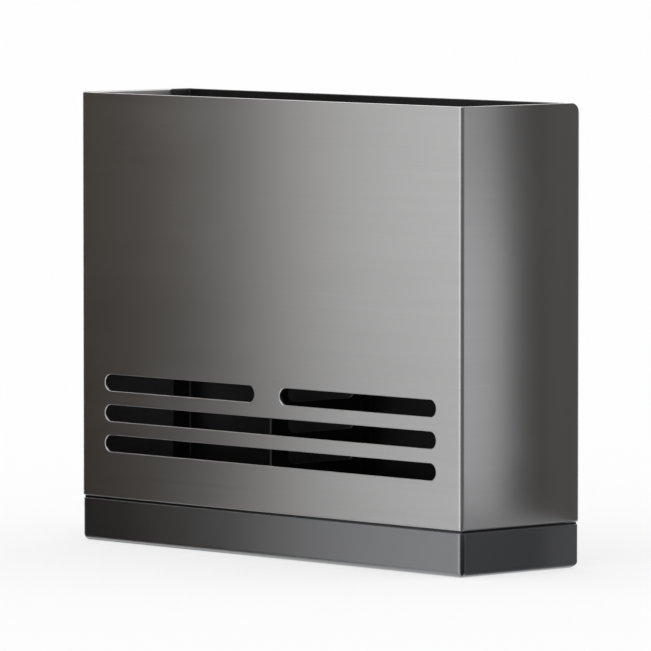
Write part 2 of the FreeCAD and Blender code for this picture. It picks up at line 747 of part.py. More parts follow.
def make_bumper(label, side):
    """A round soft bumper that keeps the holder's foot off the wall."""
    body = new_body(label)
    face = new_sketch(body, "XZ_Plane")
    place = (f"{side} * ({HALF_WIDTH} - bumper_inset)", f"{FLOOR_TOP} + bumper_rise")
    draw_circle(face, place, "bumper_diameter")
    pad(face, "wall_gap + panel_recess")
    round_edges(body, "bumper_round", {"y": at("0")})


make_front_shell()
make_back_panel()
make_drain_floor()
make_tray_runner("left_tray_runner", -1)
make_tray_runner("right_tray_runner", 1)
make_runner_rivets("left_runner_rivets", -1)
make_runner_rivets("right_runner_rivets", 1)
make_drip_tray()
make_guide("front_divider_guide", INNER_FRONT, 1, f"{vent_height(1)} + slot_height / 2 + guide_rise")
make_guide("rear_divider_guide", PANEL_FRONT, -1, FLOOR_TOP)
make_divider_panel()
make_wall_rail()
make_adhesive_pad()
make_hanger_rail()
make_hanger_rivets()
make_bumper("left_bumper", -1)
make_bumper("right_bumper", 1)
document.recompute()

for item in document.Objects:
    if "Invalid" in item.State or "Error" in item.State:
        raise RuntimeError(f"{item.Label} failed: {item.State}")
for node in nodes:
    if node.Shape.isNull() or not node.Shape.isValid() or not node.Shape.Solids:
        raise RuntimeError(f"{node.Label} has no valid shape")

os.makedirs("parts", exist_ok=True)
for node in nodes:
    node.Shape.exportStep(f"parts/{node.Label}.step")
    box = node.Shape.BoundBox
    print(f"{node.Label}: {len(node.Shape.Solids)} solids, {node.Shape.Volume:.0f} mm3, "
          f"x {box.XMin:.2f} to {box.XMax:.2f}, y {box.YMin:.2f} to {box.YMax:.2f}, "
          f"z {box.ZMin:.2f} to {box.ZMax:.2f}")
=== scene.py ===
"""Looks of a wall-mounted chopstick holder: its finishes, its small fittings, a plain studio and the camera.

Metres.  +X is to the right as seen from the front, +Y goes into the wall and +Z is up.  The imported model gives
every rigid piece at its real size.  What is built here are the domed rivets, the weld marks, the pressed rims of
the drain slots, the soft bumpers and the foam pad, each placed from the box of the piece that it stands for or
sits on.
"""
import logging
import math
from collections.abc import Mapping
from dataclasses import dataclass
from enum import Enum
from typing import ClassVar

import bmesh
import bpy
from mathutils import Matrix, Vector


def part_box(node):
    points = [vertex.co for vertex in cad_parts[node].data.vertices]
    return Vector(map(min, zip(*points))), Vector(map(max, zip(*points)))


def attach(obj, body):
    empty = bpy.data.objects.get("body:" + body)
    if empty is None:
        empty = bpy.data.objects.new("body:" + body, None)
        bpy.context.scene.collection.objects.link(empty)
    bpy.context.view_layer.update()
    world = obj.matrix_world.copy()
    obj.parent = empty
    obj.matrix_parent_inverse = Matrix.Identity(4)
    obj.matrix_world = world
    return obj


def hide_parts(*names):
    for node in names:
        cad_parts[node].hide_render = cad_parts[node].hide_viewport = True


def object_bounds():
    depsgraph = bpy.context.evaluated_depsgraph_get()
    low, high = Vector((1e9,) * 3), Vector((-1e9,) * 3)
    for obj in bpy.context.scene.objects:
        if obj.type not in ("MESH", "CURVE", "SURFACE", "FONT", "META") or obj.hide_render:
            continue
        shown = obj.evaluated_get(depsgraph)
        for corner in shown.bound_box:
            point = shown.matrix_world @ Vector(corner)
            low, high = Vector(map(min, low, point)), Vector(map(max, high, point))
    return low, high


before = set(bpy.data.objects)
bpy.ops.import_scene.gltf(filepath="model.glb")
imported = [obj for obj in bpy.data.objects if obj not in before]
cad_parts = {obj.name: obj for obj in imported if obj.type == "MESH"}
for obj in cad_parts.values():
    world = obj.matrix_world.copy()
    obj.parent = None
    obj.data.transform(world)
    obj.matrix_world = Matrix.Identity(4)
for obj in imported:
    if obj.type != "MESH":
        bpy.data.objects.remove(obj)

CAD_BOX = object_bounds()
MM = 0.001
WHITE = (1.0, 1.0, 1.0, 1.0)
LOG = logging.getLogger("chopstick_holder")

Pair = tuple[float, float]
Point = tuple[float, float, float]
Colour = tuple[float, float, float]
Profile = list[Pair]
Corners = tuple[Point, ...]
Inputs = Mapping[str | int, object]
Node = bpy.types.Node
Socket = bpy.types.NodeSocket
Look = tuple[Socket, Socket, Socket]
Mesh = bpy.types.Mesh


class Slot(Enum):
    """The record's material slots."""

    SHELL = "shell_metal"
    INNER = "inner_steel"
    BRACKET = "bracket_steel"
    RIVET = "rivet_metal"
    TRAY = "tray_plastic"
    BUMPER = "bumper_rubber"
    PAD = "pad_foam"


class Body(Enum):
    """The bodies that new pieces ride on."""

    WALL = "wall_bracket"
    HOLDER = "holder"


class Effect(Enum):
    """Surface effects that several finishes share, each one shader node group."""

    HAIRLINE = "hairline_grain"
    EDGE_WEAR = "edge_wear"
    HANDLING = "handling_marks"
    DUST = "settled_dust"
    TOOTH = "fine_tooth"


class Axis(Enum):
    """The axes that turned pieces lie along and rows run along."""

    X = (1.0, 0.0, 0.0)
    Y = (0.0, 1.0, 0.0)
    Z = (0.0, 0.0, 1.0)

    @property
    def place(self) -> int:
        """The axis's place in a vector."""
        return self.value.index(1.0)


class Graph:
    """A node tree that is being built."""

    def __init__(self, tree: bpy.types.NodeTree) -> None:
        """Keep the tree that nodes are added to."""
        self.tree = tree

    @classmethod
    def of_material(cls, name: str) -> tuple[bpy.types.Material, "Graph"]:
        """A new material with no nodes yet, and its graph.

        Args:
            name: the material's name.

        Returns:
            The material and the graph.
        """
        material = bpy.data.materials.new(name)
        material.use_nodes = True
        material.node_tree.nodes.clear()
        return material, cls(material.node_tree)

    def add(self, kind: str, inputs: Inputs | None = None, **settings: object) -> Node:
        """Add a node.

        Args:
            kind: the node's type.
            inputs: a number, a colour or another node's output for each input, by its name or place.
            settings: the node's own properties.

        Returns:
            The new node.
        """
        node = self.tree.nodes.new(kind)
        for name, value in settings.items():
            setattr(node, name, value)
        self.fill(node, inputs or {})
        return node

    def fill(self, node: Node, inputs: Inputs) -> None:
        """Set or link several of a node's inputs.

        Args:
            node: the node.
            inputs: what each input gets, by its name or place.
        """
        for place, value in inputs.items():
            if isinstance(value, Socket):
                self.tree.links.new(value, node.inputs[place])
            else:
                node.inputs[place].default_value = value

    def socket(self, name: str, kind: str, way: str = "INPUT", value: object = None) -> str:
        """Add a named socket to the tree's interface.

        Args:
            name: the socket's name.
            kind: the last word of its type, such as Float.
            way: INPUT or OUTPUT.
            value: what an input holds where nothing else is set.

        Returns:
            The socket's identifier.
        """
        item = self.tree.interface.new_socket(name=name, in_out=way, socket_type=f"NodeSocket{kind}")
        if value is not None:
            item.default_value = value
        return item.identifier

    def math(self, operation: str, first: object, second: object = 0.0) -> Socket:
        """The result of one sum on two values."""
        return self.add("ShaderNodeMath", {0: first, 1: second}, operation=operation).outputs[0]

    def remap(self, value: object, low: float, high: float, start: float = 0.0, end: float = 1.0) -> Socket:
        """A value's smooth way from start to end as it goes from low to high."""
        inputs = {"Value": value, "From Min": low, "From Max": high, "To Min": start, "To Max": end}
        return self.add("ShaderNodeMapRange", inputs, interpolation_type="SMOOTHSTEP").outputs[0]

    def blend(self, share: object, first: object, second: object) -> Socket:
        """Two colours mixed by a share of the second, with the inputs by place because their names repeat."""
        return self.add("ShaderNodeMix", {0: share, 6: first, 7: second}, data_type="RGBA").outputs[2]

    def noise(self, vector: object, detail: float = 2.0, rough: float = 0.5) -> Socket:
        """A cloudy value from 0 to 1 whose clouds are about 1 across."""
        inputs = {"Vector": vector, "Scale": 1.0, "Detail": detail, "Roughness": rough}
        return self.add("ShaderNodeTexNoise", inputs).outputs[0]

    def split(self, vector: object) -> tuple[Socket, ...]:
        """The three parts of a vector."""
        return tuple(self.add("ShaderNodeSeparateXYZ", {0: vector}).outputs)

    def join(self, across: object, along: object, up: object) -> Socket:
        """A vector from its three parts."""
        return self.add("ShaderNodeCombineXYZ", {0: across, 1: along, 2: up}).outputs[0]

    def clouds(self, start: Node, name: str, size: float, detail: float, rough: float) -> Socket:
        """Noise for a node group, with an input of the group for the size of its clouds."""
        self.socket(name, "Float", value=size)
        unit = start.outputs[name]
        inputs = {0: start.outputs["Vector"], 1: self.join(unit, unit, unit)}
        place = self.add("ShaderNodeVectorMath", inputs, operation="DIVIDE").outputs[0]
        return self.noise(place, detail, rough)

    def effect(self, effect: Effect, place: Socket, inputs: Inputs | None = None) -> Socket:
        """Place a shared effect.

        Args:
            effect: which one.
            place: the piece's own coordinates.
            inputs: its values here, where they aren't its usual ones.

        Returns:
            The mask or height that it gives.
        """
        group = EffectLibrary.group(effect)
        return self.add("ShaderNodeGroup", {"Vector": place, **(inputs or {})}, node_tree=group).outputs[0]


class EffectLibrary:
    """Builds each shared effect's node group once."""

    @classmethod
    def group(cls, effect: Effect) -> bpy.types.NodeTree:
        """The effect's node group, made on first use.

        Args:
            effect: which one.

        Returns:
            The group.
        """
        found = bpy.data.node_groups.get(effect.value)
        if found:
            return found
        graph = Graph(bpy.data.node_groups.new(effect.value, "ShaderNodeTree"))
        graph.socket("Vector", "Vector")
        makers = {
            Effect.HAIRLINE: cls._hairline,
            Effect.EDGE_WEAR: cls._edge_wear,
            Effect.HANDLING: cls._handling,
            Effect.DUST: cls._dust,
            Effect.TOOTH: cls._tooth,
        }
        name, result = makers[effect](graph, graph.add("NodeGroupInput"))
        graph.socket(name, "Float", "OUTPUT")
        graph.add("NodeGroupOutput", {name: result})
        return graph.tree

    @staticmethod
    def _hairline(graph: Graph, start: Node) -> tuple[str, Socket]:
        """Level brush lines: quick changes with height, slow ones along the sheet."""
        fine_share, broad_share, broad_rate = 0.6, 0.4, 0.12
        graph.socket("Line Width", "Float", value=0.3 * MM)
        graph.socket("Line Length", "Float", value=60 * MM)
        across, along, up = graph.split(start.outputs["Vector"])
        length = start.outputs["Line Length"]
        level = (graph.math("DIVIDE", across, length), graph.math("DIVIDE", along, length))
        rise = graph.math("DIVIDE", up, start.outputs["Line Width"])
        fine = graph.noise(graph.join(*level, rise))
        broad = graph.noise(graph.join(*level, graph.math("MULTIPLY", rise, broad_rate)))
        fine_part = graph.math("MULTIPLY", fine, fine_share)
        both = graph.math("ADD", fine_part, graph.math("MULTIPLY", broad, broad_share))
        return "Grain", graph.remap(both, low=0.25, high=0.75)

    @staticmethod
    def _edge_wear(graph: Graph, start: Node) -> tuple[str, Socket]:
        """Broken patches along edges, where the rounded normal leaves the true one."""
        graph.socket("Radius", "Float", value=0.6 * MM)
        rounded = graph.add("ShaderNodeBevel", {"Radius": start.outputs["Radius"]}, samples=4)
        flat = graph.add("ShaderNodeNewGeometry").outputs["Normal"]
        agree = graph.add("ShaderNodeVectorMath", {0: rounded.outputs[0], 1: flat}, operation="DOT_PRODUCT")
        edge = graph.remap(agree.outputs["Value"], low=0.97, high=0.75)
        patch = graph.clouds(start, "Patch Size", 6 * MM, detail=4.0, rough=0.6)
        return "Wear", graph.math("MULTIPLY", edge, graph.remap(patch, low=0.35, high=0.65))

    @staticmethod
    def _handling(graph: Graph, start: Node) -> tuple[str, Socket]:
        """Wide soft smears left by hands and wiping."""
        smear = graph.clouds(start, "Smear Size", 40 * MM, detail=4.0, rough=0.55)
        return "Smear", graph.remap(smear, low=0.42, high=0.72)

    @staticmethod
    def _dust(graph: Graph, start: Node) -> tuple[str, Socket]:
        """Specks and film on what faces up."""
        specks = graph.clouds(start, "Speck Size", 0.8 * MM, detail=5.0, rough=0.7)
        facing = graph.split(graph.add("ShaderNodeNewGeometry").outputs["Normal"])[2]
        upward = graph.remap(facing, low=0.5, high=0.95)
        return "Dust", graph.math("MULTIPLY", upward, graph.remap(specks, low=0.45, high=0.75))

    @staticmethod
    def _tooth(graph: Graph, start: Node) -> tuple[str, Socket]:
        """The fine uneven height of coats, mouldings and foam."""
        return "Height", graph.clouds(start, "Tooth Size", 0.4 * MM, detail=3.0, rough=0.6)


@dataclass(frozen=True)
class Finish:
    """What every finish has: the record's slot, a base colour, a roughness and whether it is metal."""

    slot: Slot
    colour: Colour
    roughness: float
    metallic: float = 1.0

    def material(self) -> bpy.types.Material:
        """The finish as a material, made on first use.

        Returns:
            The material.
        """
        name = f"{self.slot.value}_finish"
        found = bpy.data.materials.get(name)
        if found:
            return found
        material, graph = Graph.of_material(name)
        shader = graph.add("ShaderNodeBsdfPrincipled", {"Metallic": self.metallic})
        colour, roughness, normal = self.paint(graph, graph.add("ShaderNodeTexCoord").outputs["Object"])
        graph.fill(shader, {"Base Color": colour, "Roughness": roughness, "Normal": normal})
        graph.add("ShaderNodeOutputMaterial", {"Surface": shader.outputs[0]})
        return material

    def paint(self, graph: Graph, place: Socket) -> Look:
        """What the shader shows.

        Args:
            graph: the material's nodes.
            place: the piece's own coordinates.

        Returns:
            The colour, the roughness and the normal.
        """
        raise NotImplementedError

    def shade(self, factor: float) -> tuple[float, ...]:
        """The base colour, lighter or darker by a factor."""
        return (*(part * factor for part in self.colour), 1.0)

    def mottle(self, graph: Graph, mask: Socket, low: float, high: float) -> Socket:
        """The base colour, going from one shade to another with a mask."""
        return graph.blend(mask, self.shade(low), self.shade(high))

    def layer(self, graph: Graph, base: Socket, mask: Socket, share: float, tone: float) -> Socket:
        """A colour that is covered, up to a share, by another shade of the base where a mask lies."""
        return graph.blend(graph.math("MULTIPLY", mask, share), base, self.shade(tone))

    def vary(self, graph: Graph, *parts: tuple[Socket, float]) -> Socket:
        """The roughness, moved to either side by masks.

        Args:
            graph: the material's nodes.
            parts: each mask, and how far it moves the roughness at its ends.

        Returns:
            The roughness.
        """
        total = self.roughness
        for mask, swing in parts:
            total = graph.math("ADD", total, graph.remap(mask, 0.0, 1.0, -swing, swing))
        return total

    def bump(self, graph: Graph, height: object, depth: float, strength: float) -> Socket:
        """A normal that follows a height of that depth."""
        return graph.add("ShaderNodeBump", {"Height": height, "Distance": depth, "Strength": strength}).outputs[0]


@dataclass(frozen=True)
class HairlineSheet(Finish):
    """Satin gun-metal sheet with fine level brush lines."""

    contrast: float = 0.018
    line_length: float = 140 * MM

    def paint(self, graph: Graph, place: Socket) -> Look:
        """Brush lines, smears, and lighter edges that are partly worn metal and partly a painted highlight along
        the rims.
        """
        grain = graph.effect(Effect.HAIRLINE, place, {"Line Length": self.line_length})
        smear = graph.effect(Effect.HANDLING, place)
        wear = graph.effect(Effect.EDGE_WEAR, place, {"Radius": 0.5 * MM})
        lines = self.mottle(graph, grain, low=1 - self.contrast, high=1 + self.contrast)
        # Lighter edges: partly wear, partly a painted highlight on the rims.
        colour = self.layer(graph, lines, wear, share=0.5, tone=1.4)
        roughness = self.vary(graph, (grain, -0.012), (smear, 0.006))
        return colour, roughness, self.bump(graph, grain, depth=0.002 * MM, strength=0.15)


@dataclass(frozen=True)
class CoatedSteel(Finish):
    """Dark satin steel sheet, whose near-black colour is partly its coat and partly painted shade for the inside
    of the holder, rubbed to a lighter grey in spots along its edges.
    """

    def paint(self, graph: Graph, place: Socket) -> Look:
        """A fine pebbled coat, rubbed edges and a little dust."""
        tooth = graph.effect(Effect.TOOTH, place, {"Tooth Size": 0.5 * MM})
        smear = graph.effect(Effect.HANDLING, place, {"Smear Size": 25 * MM})
        wear = graph.effect(Effect.EDGE_WEAR, place, {"Radius": 0.35 * MM, "Patch Size": 9 * MM})
        dust = graph.effect(Effect.DUST, place)
        coat = self.mottle(graph, tooth, low=0.88, high=1.12)
        coat = self.layer(graph, coat, smear, share=0.5, tone=1.18)
        coat = self.layer(graph, coat, dust, share=0.12, tone=2.4)
        colour = self.layer(graph, coat, wear, share=0.55, tone=3.0)
        roughness = self.vary(graph, (tooth, 0.05), (smear, -0.04), (dust, 0.04))
        return colour, roughness, self.bump(graph, tooth, depth=0.02 * MM, strength=0.35)


@dataclass(frozen=True)
class ZincSteel(Finish):
    """Plain plated steel with a soft spangle."""

    spangle: float = 5 * MM

    def paint(self, graph: Graph, place: Socket) -> Look:
        """Crystal patches, brush lines and bright edges."""
        cells = graph.add("ShaderNodeTexVoronoi", {"Vector": place, "Scale": 1 / self.spangle})
        patch = graph.split(cells.outputs["Color"])[0]
        grain = graph.effect(Effect.HAIRLINE, place, {"Line Width": 0.25 * MM})
        wear = graph.effect(Effect.EDGE_WEAR, place, {"Radius": 0.4 * MM})
        plate = self.mottle(graph, patch, low=0.92, high=1.06)
        plate = self.layer(graph, plate, grain, share=0.25, tone=0.85)
        colour = self.layer(graph, plate, wear, share=0.4, tone=1.25)
        roughness = self.vary(graph, (patch, 0.05), (wear, -0.04))
        return colour, roughness, self.bump(graph, grain, depth=0.006 * MM, strength=0.5)


@dataclass(frozen=True)
class SetAluminium(Finish):
    """Aluminium of a set rivet, with faint tool marks."""

    def paint(self, graph: Graph, place: Socket) -> Look:
        """Fine dull tooth with polished edges."""
        tooth = graph.effect(Effect.TOOTH, place, {"Tooth Size": 0.25 * MM})
        wear = graph.effect(Effect.EDGE_WEAR, place, {"Radius": 0.3 * MM, "Patch Size": 2 * MM})
        metal = self.mottle(graph, tooth, low=0.88, high=1.1)
        colour = self.layer(graph, metal, wear, share=0.5, tone=1.2)
        roughness = self.vary(graph, (tooth, 0.07), (wear, -0.05))
        return colour, roughness, self.bump(graph, tooth, depth=0.015 * MM, strength=0.4)


@dataclass(frozen=True)
class MetallicPaint(Finish):
    """Dark metallic paint on a moulded tray, with painted shade on the ridge above its rim, where the ridge sits
    in the seam under the shell.
    """

    rim: float = -123 * MM
    fade: float = 0.1 * MM
    seam_shade_tone: float = 0.2

    def paint(self, graph: Graph, place: Socket) -> Look:
        """Flakes, faint level lines and smears, paint rubbed thin along the edges, and painted shade on the ridge.
        """
        flakes = graph.effect(Effect.TOOTH, place, {"Tooth Size": 0.22 * MM})
        grain = graph.effect(Effect.HAIRLINE, place, {"Line Width": 0.4 * MM, "Line Length": 30 * MM})
        smear = graph.effect(Effect.HANDLING, place, {"Smear Size": 30 * MM})
        wear = graph.effect(Effect.EDGE_WEAR, place, {"Radius": 0.5 * MM})
        dust = graph.effect(Effect.DUST, place, {"Speck Size": 1.2 * MM})
        # Painted shade on the ridge above the rim, which sits in the seam under the shell.
        seam_shade = graph.remap(graph.split(place)[2], self.rim, self.rim + self.fade)
        paint = self.mottle(graph, flakes, low=0.94, high=1.07)
        paint = self.layer(graph, paint, grain, share=0.3, tone=0.94)
        paint = self.layer(graph, paint, dust, share=0.1, tone=1.6)
        paint = self.layer(graph, paint, wear, share=0.3, tone=1.5)
        colour = graph.blend(seam_shade, paint, self.shade(self.seam_shade_tone))
        roughness = self.vary(graph, (flakes, 0.025), (smear, 0.008), (dust, 0.04))
        return colour, roughness, self.bump(graph, flakes, depth=0.006 * MM, strength=0.2)


@dataclass(frozen=True)
class MouldedRubber(Finish):
    """Dull black rubber."""

    metallic: float = 0.0

    def paint(self, graph: Graph, place: Socket) -> Look:
        """Fine moulded tooth with paler rubbed patches."""
        tooth = graph.effect(Effect.TOOTH, place, {"Tooth Size": 0.3 * MM})
        smear = graph.effect(Effect.HANDLING, place, {"Smear Size": 6 * MM})
        wear = graph.effect(Effect.EDGE_WEAR, place, {"Radius": 0.8 * MM, "Patch Size": 3 * MM})
        rubber = self.mottle(graph, smear, low=1.0, high=1.5)
        rubber = self.layer(graph, rubber, tooth, share=0.3, tone=2.0)
        colour = self.layer(graph, rubber, wear, share=0.4, tone=3.2)
        roughness = self.vary(graph, (smear, 0.06), (wear, 0.04))
        return colour, roughness, self.bump(graph, tooth, depth=0.04 * MM, strength=0.5)


@dataclass(frozen=True)
class FoamTape(Finish):
    """Off-white closed-cell foam."""

    metallic: float = 0.0
    cell: float = 0.35 * MM
    aged: Colour = (0.66, 0.6, 0.47)
    aged_share: float = 0.4

    def paint(self, graph: Graph, place: Socket) -> Look:
        """Cells all over and a slight yellowing in patches."""
        cells = graph.add("ShaderNodeTexVoronoi", {"Vector": place, "Scale": 1 / self.cell}).outputs["Distance"]
        smear = graph.effect(Effect.HANDLING, place, {"Smear Size": 15 * MM})
        foam = self.mottle(graph, cells, low=1.05, high=0.8)
        yellowed = graph.math("MULTIPLY", smear, self.aged_share)
        colour = graph.blend(yellowed, foam, (*self.aged, 1.0))
        roughness = self.vary(graph, (smear, -0.05))
        return colour, roughness, self.bump(graph, cells, depth=0.08 * MM, strength=0.6)


SHELL = HairlineSheet(Slot.SHELL, (0.5, 0.497, 0.495), 0.3)
# The inner steel's near-black colour is partly a dark coat and partly painted shade, so that the holder's inside
# reads black through the slots.
INNER = CoatedSteel(Slot.INNER, (0.055, 0.055, 0.056), 0.42)
BRACKET = ZincSteel(Slot.BRACKET, (0.5, 0.5, 0.5), 0.38)
RIVET = SetAluminium(Slot.RIVET, (0.62, 0.62, 0.63), 0.34)
TRAY = MetallicPaint(Slot.TRAY, (0.26, 0.263, 0.27), 0.34)
BUMPER = MouldedRubber(Slot.BUMPER, (0.022, 0.022, 0.022), 0.7)
PAD = FoamTape(Slot.PAD, (0.78, 0.77, 0.74), 0.85)


def add_object(name: str, data: bpy.types.ID) -> bpy.types.Object:
    """Put a new object into the scene."""
    item = bpy.data.objects.new(name, data)
    bpy.context.scene.collection.objects.link(item)
    return item


def add_sheet(name: str, corners: Corners) -> tuple[bpy.types.Object, Graph]:
    """Put a flat sheet of the stage into the scene, with a material that has no nodes yet.

    Args:
        name: the sheet's name.
        corners: its corners, once round.

    Returns:
        The sheet and its material's graph.
    """
    mesh = bpy.data.meshes.new(name)
    mesh.from_pydata(corners, [], [tuple(range(len(corners)))])
    material, graph = Graph.of_material(name)
    mesh.materials.append(material)
    return add_object(name, mesh), graph


def place_piece(name: str, mesh: Mesh, body: Body, finish: Finish, *stands_for: str) -> bpy.types.Object:
    """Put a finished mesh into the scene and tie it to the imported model.

    Args:
        name: the piece's name.
        mesh: its mesh, already in place.
        body: what it moves with.
        finish: what it is made of.
        stands_for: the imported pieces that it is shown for.

    Returns:
        The piece.
    """
    mesh.name = name
    piece = add_object(name, mesh)
    mesh.materials.clear()
    mesh.materials.append(finish.material())
    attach(piece, body.value)
    if stands_for:
        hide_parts(*stands_for)
    LOG.info("%s: %d faces on %s", name, len(mesh.polygons), body.value)
    return piece


def arc(middle: Pair, reach: Pair, start: float, end: float, steps: int) -> Profile:
    """Points of a round or oval stretch of a profile.

    Args:
        middle: its centre.
        reach: how far it goes along each axis.
        start: where it starts, in degrees from the first axis.
        end: where it ends.
        steps: how many straight steps it has.

    Returns:
        The points.
    """
    turns = [math.radians(start + (end - start) * step / steps) for step in range(steps + 1)]
    return [(middle[0] + reach[0] * math.cos(turn), middle[1] + reach[1] * math.sin(turn)) for turn in turns]


def rounded_outline(half_width: float, half_height: float, radius: float, steps: int) -> Profile:
    """A rectangle with round corners about the origin.

    Args:
        half_width: its reach along the first axis.
        half_height: its reach along the second.
        radius: its corners' radius.
        steps: the straight steps of each corner.

    Returns:
        The points, once round.
    """
    points: Profile = []
    for quarter, (side, up) in enumerate(((1, 1), (-1, 1), (-1, -1), (1, -1))):
        middle = (side * (half_width - radius), up * (half_height - radius))
        points += arc(middle, (radius, radius), 90 * quarter, 90 * quarter + 90, steps)
    return points


def level_corners(start: Pair, end: Pair, height: float) -> Corners:
    """The corners of a level rectangle between two opposite ones."""
    return ((*start, height), (end[0], start[1], height), (*end, height), (start[0], end[1], height))


def upright_corners(start: Pair, end: Pair, low: float, high: float) -> Corners:
    """The corners of an upright rectangle over a line that is seen from above."""
    return ((*start, low), (*end, low), (*end, high), (*start, high))


def finished_mesh(name: str, shape: bmesh.types.BMesh, sharp: float = 40.0) -> Mesh:
    """A plain mesh with outward faces, smooth but for its sharp edges.

    Args:
        name: the mesh's name.
        shape: what it is made from, which is freed.
        sharp: the least turn between two faces that stays sharp, in degrees.

    Returns:
        The mesh.
    """
    bmesh.ops.recalc_face_normals(shape, faces=shape.faces[:])
    mesh = bpy.data.meshes.new(name)
    shape.to_mesh(mesh)
    shape.free()
    mesh.polygons.foreach_set("use_smooth", [True] * len(mesh.polygons))
    mesh.set_sharp_from_angle(angle=math.radians(sharp))
    return mesh


def bridge_loops(shape: bmesh.types.BMesh, loops: list[list[bmesh.types.BMVert]]) -> None:
    """Join each loop of points to the next with four-sided faces.

    Args:
        shape: the mesh that the points are in.
        loops: the loops in order, all with as many points.
    """
    for loop, following in zip(loops, loops[1:]):
        for index in range(len(loop)):
            after = (index + 1) % len(loop)
            shape.faces.new((loop[index], loop[after], following[after], following[index]))


def turned_mesh(name: str, profile: Profile, axis: Axis, sides: int) -> Mesh:
    """A closed solid turned from half of its section.

    Args:
        name: the mesh's name.
        profile: radius and height of each point, from the axis at one end to the axis at the other.
        axis: the axis that heights run along.
        sides: how many flat sides the turn has.

    Returns:
        The mesh, about the origin.
    """
    shape = bmesh.new()
    loops = []
    for radius, height in profile[1:-1]:
        ring = arc((0.0, 0.0), (radius, radius), 0, 360, sides)[:-1]
        loops.append([shape.verts.new((across, along, height)) for across, along in ring])
    bridge_loops(shape, loops)
    for (_, height), loop in ((profile[0], loops[0]), (profile[-1], loops[-1])):
        tip = shape.verts.new((0.0, 0.0, height))
        for index, corner in enumerate(loop):
            shape.faces.new((corner, loop[(index + 1) % sides], tip))
    shape.transform(Vector(Axis.Z.value).rotation_difference(Vector(axis.value)).to_matrix().to_4x4())
    return finished_mesh(name, shape)


class RowTree:
    """Geometry nodes that repeat a piece in a straight row, with each copy turned and sized a little by itself."""

    NAME = "row_of_copies"
    SEED = 7

    def __init__(self) -> None:
        """Build the tree."""
        graph = Graph(bpy.data.node_groups.new(self.NAME, "GeometryNodeTree"))
        self.tree = graph.tree
        graph.socket("Geometry", "Geometry")
        kinds = {"Start": "Vector", "Step": "Vector", "Count": "Int", "Axis": "Vector"}
        kinds |= {"Turn Play": "Float", "Size Play": "Float", "Material": "Material"}
        usual = {"Count": 1, "Axis": Axis.Z.value, "Turn Play": 0.0, "Size Play": 0.0}
        self.inputs = {name: graph.socket(name, kind, value=usual.get(name)) for name, kind in kinds.items()}
        graph.socket("Geometry", "Geometry", "OUTPUT")
        start = graph.add("NodeGroupInput").outputs
        places = {"Count": start["Count"], "Start Location": start["Start"], "Offset": start["Step"]}
        line = graph.add("GeometryNodeMeshLine", places, mode="OFFSET")
        turn = self._chance(graph, 0.0, start["Turn Play"], self.SEED)
        spin = graph.add("ShaderNodeVectorMath", {0: start["Axis"], "Scale": turn}, operation="SCALE")
        size = self._chance(graph, graph.math("SUBTRACT", 1.0, start["Size Play"]), 1.0, self.SEED + 1)
        copies = graph.add("GeometryNodeInstanceOnPoints", {
            "Points": line.outputs[0],
            "Instance": start["Geometry"],
            "Rotation": spin.outputs[0],
            "Scale": size,
        })
        real = graph.add("GeometryNodeRealizeInstances", {0: copies.outputs[0]})
        dressed = graph.add("GeometryNodeSetMaterial", {0: real.outputs[0], "Material": start["Material"]})
        graph.add("NodeGroupOutput", {0: dressed.outputs[0]})

    @staticmethod
    def _chance(graph: Graph, low: object, high: object, seed: int) -> Socket:
        """A number of its own for each copy, with the inputs by place because their names repeat."""
        inputs = {2: low, 3: high, "Seed": seed}
        return graph.add("FunctionNodeRandomValue", inputs, data_type="FLOAT").outputs[1]

    def build(
        self, name: str, single: Mesh, finish: Finish, values: Mapping[str, object], *stands_for: str
    ) -> None:
        """Show a row of copies on the holder, as one plain mesh.

        Args:
            name: the row's name.
            single: the mesh that is repeated.
            finish: what the copies are made of.
            values: the row's values, by the names of the tree's inputs.
            stands_for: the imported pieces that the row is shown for.
        """
        maker = add_object("row_maker", single)
        modifier = maker.modifiers.new("row", "NODES")
        modifier.node_group = self.tree
        for socket, value in {**values, "Material": finish.material()}.items():
            modifier[self.inputs[socket]] = value
        graph = bpy.context.evaluated_depsgraph_get()
        mesh = bpy.data.meshes.new_from_object(maker.evaluated_get(graph), depsgraph=graph)
        maker.modifiers.remove(modifier)
        bpy.data.objects.remove(maker)
        place_piece(name, mesh, Body.HOLDER, finish, *stands_for)


